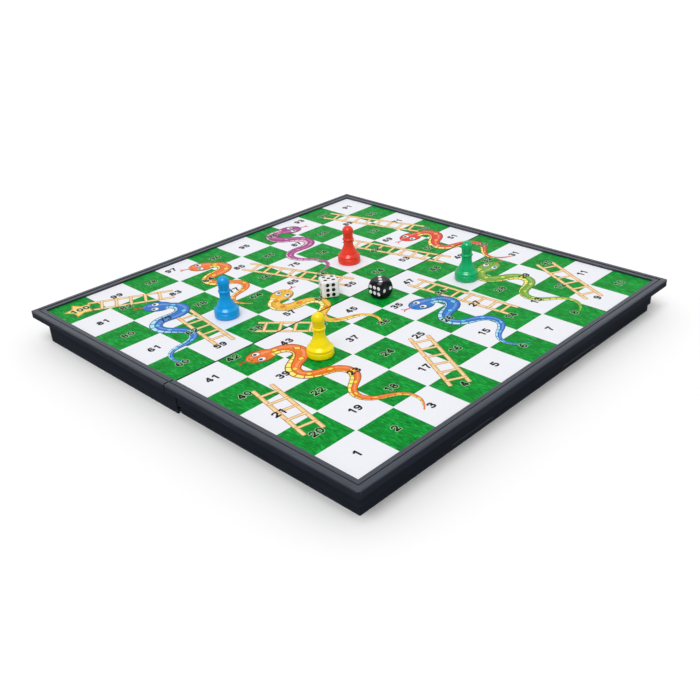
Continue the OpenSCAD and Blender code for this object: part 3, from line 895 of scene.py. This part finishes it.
# Each snake's colour, belly and marks, its nose and the tip of its tail in squares from the corner of
# square 1, the number of its bends, and how far it swings from the line between its ends
CREAM = screen(250, 236, 120)
SKY = screen(176, 226, 244)
AZURE = screen(110, 200, 240)
GOLD = screen(255, 214, 70)
SNAKES = (
    ("orange", CREAM, GOLD, (3.60, 9.45), (3.30, 6.55), 4, 80),
    ("purple", screen(240, 190, 214), screen(226, 130, 190), (7.45, 9.35), (5.60, 6.65), 4, -82),
    ("blue", SKY, AZURE, (1.50, 8.40), (0.60, 5.40), 4, 78),
    ("red", CREAM, screen(255, 176, 60), (8.45, 6.40), (9.35, 3.45), 4, 80),
    ("yellow", screen(255, 246, 170), screen(238, 120, 30), (4.35, 6.45), (4.35, 3.45), 4, -82),
    ("orange", CREAM, GOLD, (1.40, 4.50), (2.30, 0.50), 5, 76),
    ("blue", SKY, AZURE, (5.40, 3.50), (5.70, 0.45), 4, 82),
    ("green", CREAM, screen(214, 224, 70), (8.75, 3.50), (7.65, 0.45), 4, -78))
# Part of the length, at the head, that stays straight, and how much less the tail turns than the head
STRAIGHT_SHARE = 0.1
CALM_SHARE = 0.3
BEND_STEPS = 14
# Width of the neck in body widths, the part of the length that tapers, and how full the taper stays
NECK_SHARE = 0.62
TAIL_SHARE = 0.75
TAIL_POWER = 0.8
# Length of one band of the belly, and of one row of the body's faces
BAND = 3.6 * MM
ROW = 0.8 * MM
HEAD_ROWS = 24
BODY_COLUMNS = 6
# How far back from the nose the eyes and the nostrils lie and how far aside, in head lengths and widths
EYE_SHARES = (0.42, 0.235)
NOSTRIL_SHARES = (0.12, 0.1)
# An eye's dark rim, its pupil and how far the pupil looks ahead, in eye radii, and how oval the eye is
RIM_SHARE, PUPIL_SHARE, GAZE_SHARE, OVAL = 1.16, 0.55, 0.32, 1.15
NOSTRIL_R = 0.36 * MM
NOSTRIL_OVAL = 1.5
# Half the width of the tongue and of its branches, its fork in tongue lengths, and the bend and tip of a
# branch: how far ahead of the fork in tongue lengths, and how far aside
TONGUE_HALF = 0.4 * MM
BRANCH_HALF = 0.3 * MM
FORK_SHARE = 0.55
BRANCH = ((0.24, 0.5 * MM), (0.45, 1.6 * MM))


def snake_way(nose, tip, bends, swing):
    """A walk that turns to and fro, turned and scaled to run from the nose to the tip of the tail."""
    count = bends * BEND_STEPS
    walk = [complex(0)]
    for k in range(count):
        past = max(0, (k + 0.5) / count - STRAIGHT_SHARE) / (1 - STRAIGHT_SHARE)
        turn = math.radians(swing) * math.cos(math.pi * bends * past) * (1 - CALM_SHARE * past)
        walk.append(walk[-1] + complex(math.cos(turn), math.sin(turn)))
    start, end = on_board(nose), on_board(tip)
    along = complex(end.x - start.x, end.y - start.y) / walk[-1]
    points = [start + Vector(((along * p).real, (along * p).imag, 0)) for p in walk]
    return Way(points, 1)


def half_width(run, total, look):
    """Half of a snake's width at a distance from its nose."""
    head, half_head = 0.0, look.head_l / 2
    if run < look.head_l:
        head = look.head_w / 2 * math.sqrt(max(0.0, 1 - (2 * run / look.head_l - 1) ** 2))
    if run < half_head:
        return head
    out = min(1.0, (run - half_head) / look.head_l)
    back = min(1.0, max(0.0, total - run) / (TAIL_SHARE * total))
    body = look.tip_w / 2 + (look.body_w - look.tip_w) / 2 * (
        NECK_SHARE + (1 - NECK_SHARE) * out) * back ** TAIL_POWER
    return max(head, body)


def draw_body(bm, way, look, ink):
    """A ribbon along the way, as wide as the snake at each place, with closer rows at its head."""
    rest = way.total - look.head_l
    count = round(rest / ROW)
    runs = [look.head_l * (1 - math.cos(math.pi * k / HEAD_ROWS)) / 2 for k in range(HEAD_ROWS)]
    runs += [look.head_l + rest * k / count for k in range(count + 1)]
    rows = [(*way.at(run), half_width(run, way.total, look), run / BAND) for run in runs]
    to_ink(ribbon(bm, rows, BODY_COLUMNS), ink, "snake")


def on_head(way, run):
    """A point of the way at the head, with the directions to its left and to the nose."""
    point, left = way.at(run)
    return point, left, Vector((-left.y, left.x, 0))


def draw_head(bm, way, look, white, black, red):
    """Eyes, nostrils and a forked tongue."""
    nose, left, ahead = on_head(way, 0)
    fork = nose + ahead * look.tongue_l * FORK_SHARE
    stem = [(nose - ahead * MM, left, TONGUE_HALF, 0), (fork, left, TONGUE_HALF, 0)]
    tongue = ribbon(bm, stem, 1)
    for side in (-1, 1):
        bend, tip = [fork + ahead * look.tongue_l * on + left * side * off for on, off in BRANCH]
        branch = Way([fork - ahead * TONGUE_HALF, bend, tip], 4)
        tongue += ribbon(bm, [(*branch.at(run), BRANCH_HALF, 0) for run in branch.runs], 1)
    to_ink(tongue, red, "tongue")
    middle, left, ahead = on_head(way, look.head_l * EYE_SHARES[0])
    front = way.at(look.head_l * NOSTRIL_SHARES[0])[0]
    turn = math.atan2(ahead.y, ahead.x)
    for side in (-1, 1):
        eye = middle + left * side * look.head_w * EYE_SHARES[1]
        disc(bm, eye, look.eye_r * RIM_SHARE, black, "eye_rim", OVAL, turn)
        disc(bm, eye, look.eye_r, white, "eye", OVAL, turn)
        disc(bm, eye + ahead * look.eye_r * GAZE_SHARE, look.eye_r * PUPIL_SHARE, black, "pupil")
        nostril = front + left * side * look.head_w * NOSTRIL_SHARES[1]
        disc(bm, nostril, NOSTRIL_R, black, "eye_rim", NOSTRIL_OVAL, turn)


class PrintSnakes(bpy.types.Operator):
    """Print the snakes on both halves"""

    bl_idname = "board_game.snakes"
    bl_label = "Snakes"

    def execute(self, context):
        look = context.scene.board_snakes
        numbers = context.scene.board_print
        inks, kinds = [], {}
        for kind, belly, mark, *_ in SNAKES:
            if kind not in kinds:
                kinds[kind] = len(inks)
                inks.append(snake_ink(f"snake_{kind}", getattr(look, kind), belly, mark))
        white, black, red = range(len(inks), len(inks) + 3)
        inks += [printed_ink("eye_white", numbers.paper), printed_ink("eye_black", numbers.ink),
                 printed_ink("tongue_red", look.tongue)]
        bm = bmesh.new()
        for kind, _, _, *course in SNAKES:
            way = snake_way(*course)
            draw_body(bm, way, look, kinds[kind])
            draw_head(bm, way, look, white, black, red)
        print_on_halves(bm, "snake_print", inks, "ink_snake", "snakes")
        return {"FINISHED"}


# Pawns

PAWNS = ("red", "blue", "yellow", "green")
# The waist from the shoulder to the collar, in shares of the base radius and of the height
WAIST_SHARES = (
    (0.965, 0.157), (0.995, 0.180), (0.985, 0.205), (0.915, 0.228), (0.820, 0.253), (0.755, 0.280),
    (0.690, 0.320), (0.610, 0.362), (0.525, 0.410), (0.460, 0.460), (0.425, 0.520), (0.430, 0.585))
# The softening of the band's upper edge and of the magnet seat's mouth
SOFT = 0.15 * MM
PAWN_SMOOTH = math.radians(38)
# The green pawn lets some light through
CLEAR = {"Transmission_Weight": 0.2, "IOR": 1.49}


def arc(middle_x, middle_z, radius, start, end, steps):
    """Points of an arc in the XZ plane, with its angles in degrees."""
    turns = [math.radians(start + (end - start) * k / steps) for k in range(steps + 1)]
    return [Vector((middle_x + radius * math.cos(t), 0, middle_z + radius * math.sin(t))) for t in turns]


def pawn_outline(node, look):
    """Half of a pawn's section, from the roof of its magnet's seat to the top of its head."""
    low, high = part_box(f"pawn_{node}")
    magnet_low, magnet_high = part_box(f"magnet_{node}")
    radius, tall = (high.x - low.x) / 2, high.z - low.z
    seat_r = (magnet_high.x - magnet_low.x) / 2 + look.magnet_fit
    seat_h = magnet_high.z - low.z + look.magnet_fit
    waist = Way([Vector((r * radius, 0, z * tall)) for r, z in WAIST_SHARES], 8).points
    collar = look.collar_t / 2
    neck = math.degrees(math.asin(look.neck_r / look.head_r))
    return [
        Vector((0, 0, seat_h)), Vector((seat_r, 0, seat_h)), Vector((seat_r, 0, SOFT)),
        Vector((seat_r + SOFT, 0, 0)),
        *arc(radius - look.edge_r, look.edge_r, look.edge_r, -90, 0, 8),
        *arc(radius - SOFT, look.band_h - SOFT, SOFT, 0, 60, 3),
        *waist,
        *arc(look.collar_r - collar, look.collar_z, collar, -90, 90, 12),
        Vector((look.neck_r, 0, look.collar_z + look.collar_t)),
        *arc(0, tall - look.head_r, look.head_r, neck - 90, 90, 36)]


class TurnPawns(bpy.types.Operator):
    """Turn the four pawns from their section"""

    bl_idname = "board_game.pawns"
    bl_label = "Pawns"

    def execute(self, context):
        look = context.scene.board_pawns
        for name in PAWNS:
            low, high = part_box(f"pawn_{name}")
            bm = bmesh.new()
            verts = [bm.verts.new(point) for point in pawn_outline(name, look)]
            edges = [bm.edges.new(pair) for pair in zip(verts, verts[1:])]
            bmesh.ops.spin(
                bm, geom=verts + edges, cent=(0, 0, 0), axis=(0, 0, 1), angle=math.tau,
                steps=look.round_steps, use_merge=True)
            bmesh.ops.remove_doubles(bm, verts=bm.verts[:], dist=TOUCH)
            bmesh.ops.recalc_face_normals(bm, faces=bm.faces[:])
            middle = ((low.x + high.x) / 2, (low.y + high.y) / 2, low.z)
            bmesh.ops.translate(bm, vec=middle, verts=bm.verts[:])
            clear = CLEAR if name == "green" else {}
            plastic = glossy_plastic(f"pawn_plastic_{name}", getattr(look, name), look.gloss, **clear)
            piece = finish_mesh(bm, f"pawn_turned_{name}", [plastic], PAWN_SMOOTH)
            seat(piece, f"{name}_pawn", f"pawn_{name}", f"pawn_{name}")
        return {"FINISHED"}


# Dice

# Spots of each number, in shares of half the die's side
SPOT_SHARES = (
    ((0, 0),), ((-0.5, 0), (0.5, 0)), ((-0.46, -0.46), (0, 0), (0.46, 0.46)),
    ((-0.46, -0.46), (-0.46, 0.46), (0.46, -0.46), (0.46, 0.46)),
    ((-0.46, -0.46), (-0.46, 0.46), (0, 0), (0.46, -0.46), (0.46, 0.46)),
    ((-0.32, -0.58), (-0.32, 0), (-0.32, 0.58), (0.32, -0.58), (0.32, 0), (0.32, 0.58)))
# Number and quarter turns of each face: front, right, back, left, top and bottom
WHITE_FACES = ((6, 0), (3, 0), (1, 0), (4, 0), (5, 0), (2, 0))
BLACK_FACES = ((2, 0), (1, 0), (5, 0), (6, 1), (3, 0), (4, 0))
# How far each face is tipped up from the top one, and turned, in degrees
FACE_TURNS = ((90, 0), (90, 90), (90, 180), (90, 270), (0, 0), (180, 0))
DIE_SMOOTH = math.radians(30)
SPOT_SMOOTH = math.radians(40)
SPOT_STEPS = 28
EDGE_STEPS = 8
BALL_CUTS = 31


def spot_places(faces, side):
    """A matrix for each spot: its origin on the face, and its Z axis outwards."""
    places = []
    for (number, quarters), (tip, turn) in zip(faces, FACE_TURNS):
        face = (Matrix.Rotation(math.radians(turn), 4, "Z") @ Matrix.Rotation(math.radians(tip), 4, "X")
                @ Matrix.Rotation(math.radians(90 * quarters), 4, "Z"))
        for x, y in SPOT_SHARES[number - 1]:
            places.append(face @ Matrix.Translation((x * side / 2, y * side / 2, side / 2)))
    return places


def spot_ball(look):
    """Radius of the ball whose cap is a spot's hollow."""
    return (look.spot_r ** 2 + look.spot_depth ** 2) / (2 * look.spot_depth)


def hollow_cutter(faces, side, look, material):
    """The balls that cut the hollows of all the spots."""
    bm = bmesh.new()
    ball = spot_ball(look)
    for place in spot_places(faces, side):
        bmesh.ops.create_uvsphere(
            bm, u_segments=SPOT_STEPS, v_segments=20, radius=ball,
            matrix=place @ Matrix.Translation((0, 0, ball - look.spot_depth)))
    return finish_mesh(bm, "cutter", [material], math.pi)


def cut_hollows(piece, cutter):
    """Cuts the spots' hollows into a die."""
    hollows = piece.modifiers.new("hollows", "BOOLEAN")
    hollows.operation = "DIFFERENCE"
    hollows.solver = "EXACT"
    hollows.object = cutter
    apply_modifiers(piece)
    bpy.data.objects.remove(cutter)


def spot_paint(faces, side, look, name, material):
    """Paint that fills each hollow to just below the face, as one piece."""
    bm = bmesh.new()
    ball = spot_ball(look)
    for place in spot_places(faces, side):
        part = bmesh.new()
        bmesh.ops.create_uvsphere(part, u_segments=SPOT_STEPS, v_segments=40, radius=ball)
        cut_off(part, (0, 0, look.spot_depth - ball - look.lip), (0, 0, 1))
        rim = [e for e in part.edges if e.is_boundary]
        bmesh.ops.triangle_fill(part, edges=rim, use_beauty=True, normal=(0, 0, 1))
        bmesh.ops.recalc_face_normals(part, faces=part.faces[:])
        part.transform(place @ Matrix.Translation((0, 0, ball - look.spot_depth)))
        join(bm, part)
    return finish_mesh(bm, name, [material], SPOT_SMOOTH)


def white_body(side, look):
    """A cube with rounded edges."""
    bm = bmesh.new()
    bmesh.ops.create_cube(bm, size=side)
    bmesh.ops.bevel(
        bm, geom=bm.edges[:], offset=look.white_edge, offset_type="OFFSET", segments=EDGE_STEPS,
        profile=0.5, affect="EDGES", material=-1)
    return bm


def black_body(side, look):
    """A cube whose edges and corners are turned down to a ball."""
    bm = bmesh.new()
    bmesh.ops.create_cube(bm, size=side)
    bmesh.ops.subdivide_edges(bm, edges=bm.edges[:], cuts=BALL_CUTS, use_grid_fill=True)
    for vert in bm.verts:
        if vert.co.length > look.black_ball:
            vert.co *= look.black_ball / vert.co.length
    return bm


class MakeDice(bpy.types.Operator):
    """Make both dice, with hollow painted spots"""

    bl_idname = "board_game.dice"
    bl_label = "Dice"

    def execute(self, context):
        look = context.scene.board_dice
        for name, other, faces, body in (
                ("white", "black", WHITE_FACES, white_body), ("black", "white", BLACK_FACES, black_body)):
            low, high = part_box(f"die_{name}")
            side = high.z - low.z
            turn = Matrix.Rotation(getattr(look, f"{name}_turn"), 4, "Z")
            gloss = getattr(look, f"{name}_gloss")
            plastic = glossy_plastic(f"die_plastic_{name}", getattr(look, name), gloss)
            enamel = glossy_plastic(f"spot_enamel_{name}", getattr(look, other), look.paint_gloss)
            piece = finish_mesh(body(side, look), f"die_body_{name}", [plastic], DIE_SMOOTH)
            cut_hollows(piece, hollow_cutter(faces, side, look, plastic))
            spots = spot_paint(faces, side, look, f"die_spots_{name}", enamel)
            for part in (piece, spots):
                part.data.transform(Matrix.Translation((low + high) / 2) @ turn)
            seat(piece, f"{name}_die", f"die_{name}", f"die_{name}")
            seat(spots, f"{name}_die", f"spot_{other}", f"spots_{name}")
        return {"FINISHED"}


# Stage

# Width of the camera's sensor in millimetres, and how near the camera still sees
SENSOR = 36
NEAR = 10 * MM
FLOOR_R = 12
FLOOR_STEPS = 96
# The room dims between these, on a scale from -1, across the board, to 1, behind the camera
DIMMING = (-0.3, 0.4)


def direction(side, high):
    """A direction from its side and its height, as angles."""
    return Vector((math.cos(high) * math.cos(side), math.cos(high) * math.sin(side), math.sin(high)))


def place_camera(scene, look):
    """Sets the camera where the photograph was taken from."""
    lens = bpy.data.cameras.new("camera")
    lens.sensor_width = SENSOR
    lens.lens = look.focal
    lens.shift_x = look.shift
    lens.clip_start = NEAR
    scene.camera = add_object("camera", lens)
    scene.camera.matrix_world = (
        Matrix.Translation(look.eye) @ Matrix.Rotation(look.azimuth, 4, "Z")
        @ Matrix.Rotation(math.pi / 2 - look.elevation, 4, "X") @ Matrix.Rotation(look.roll, 4, "Z"))


def lay_floor(look):
    """Lays a plain floor, white to the camera and darker in the light that it gives back."""
    bm = bmesh.new()
    bmesh.ops.create_circle(bm, cap_ends=True, radius=FLOOR_R, segments=FLOOR_STEPS)
    paint = Finish("floor_paint", look.floor, 0.9, gloss=0.0)
    seen = paint.put("ShaderNodeLightPath").outputs["Is Camera Ray"]
    paint.give("Base Color", paint.mix(seen, look.bounce, look.floor))
    finish_mesh(bm, "floor", [paint.material])


def hang_lamp(look):
    """Hangs the soft key lamp."""
    key = bpy.data.lights.new("key_lamp", "SUN")
    key.energy = look.sun * math.pi / math.sin(look.sun_high)
    key.angle = look.sun_size
    lamp = add_object("key_lamp", key)
    lamp.rotation_euler = (math.pi / 2 - look.sun_high, 0, math.pi / 2 + look.sun_side)


def light_room(scene, look):
    """Lights the room evenly. Its reflection is bright across the board and dimmer behind the camera."""
    scene.world = bpy.data.worlds.new("even_light")
    room = Nodes(scene.world)
    sky = room.tree.nodes["Background"].inputs
    room.feed(sky["Color"], (1, 1, 1))
    ray = room.put("ShaderNodeLightPath").outputs
    towards = room.put("ShaderNodeTexCoord").outputs["Generated"]
    behind = room.facing(towards, direction(look.azimuth - math.pi / 2, 0))
    walls = room.spread(behind, *DIMMING, 1, look.dim)
    # The key lamp's soft box, with a soft edge
    edge = math.cos(look.box_size)
    to_box = room.facing(towards, direction(look.sun_side, look.sun_high))
    mirrored = room.reckon("ADD", walls, room.spread(to_box, edge, (1 + edge) / 2, 0, look.box))
    more = room.reckon("SUBTRACT", mirrored, look.world)
    unseen = room.reckon("MULTIPLY_ADD", ray["Is Glossy Ray"], more, look.world)
    room.feed(sky["Strength"], room.reckon("MAXIMUM", ray["Is Camera Ray"], unseen))


class SetStage(bpy.types.Operator):
    """Set the camera, the floor, the lamps and the even light"""

    bl_idname = "board_game.stage"
    bl_label = "Stage"

    def execute(self, context):
        scene, look = context.scene, context.scene.board_stage
        scene.view_settings.view_transform = "Standard"
        place_camera(scene, look)
        lay_floor(look)
        hang_lamp(look)
        light_room(scene, look)
        return {"FINISHED"}


# Add-on

SETTINGS = (
    ("board_case", CaseSettings), ("board_print", PrintSettings), ("board_snakes", SnakeSettings),
    ("board_pawns", PawnSettings), ("board_dice", DiceSettings), ("board_stage", StageSettings))
STEPS = (
    SetStage, MakeCase, DressMetal, DressPlayingFace, PrintLadders, PrintStar, PrintSnakes,
    PrintNumbers, TurnPawns, MakeDice)


class BoardPanel(bpy.types.Panel):
    """Lists the steps that build the board"""

    bl_idname = "VIEW3D_PT_board_game"
    bl_label = "Snakes and Ladders"
    bl_space_type = "VIEW_3D"
    bl_region_type = "UI"
    bl_category = "Board Game"

    def draw(self, context):
        for step in STEPS:
            self.layout.operator(step.bl_idname)


def register():
    """Registers the settings, the steps and the panel."""
    for name, group in SETTINGS:
        bpy.utils.register_class(group)
        setattr(bpy.types.Scene, name, PointerProperty(type=group))
    for kind in (*STEPS, BoardPanel):
        bpy.utils.register_class(kind)


def unregister():
    """Takes the panel, the steps and the settings away again."""
    for kind in (BoardPanel, *reversed(STEPS)):
        bpy.utils.unregister_class(kind)
    for name, group in reversed(SETTINGS):
        delattr(bpy.types.Scene, name)
        bpy.utils.unregister_class(group)


def main():
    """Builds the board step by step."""
    register()
    for step in STEPS:
        getattr(bpy.ops.board_game, step.bl_idname.split(".")[1])()


if __name__ == "__main__":
    main()
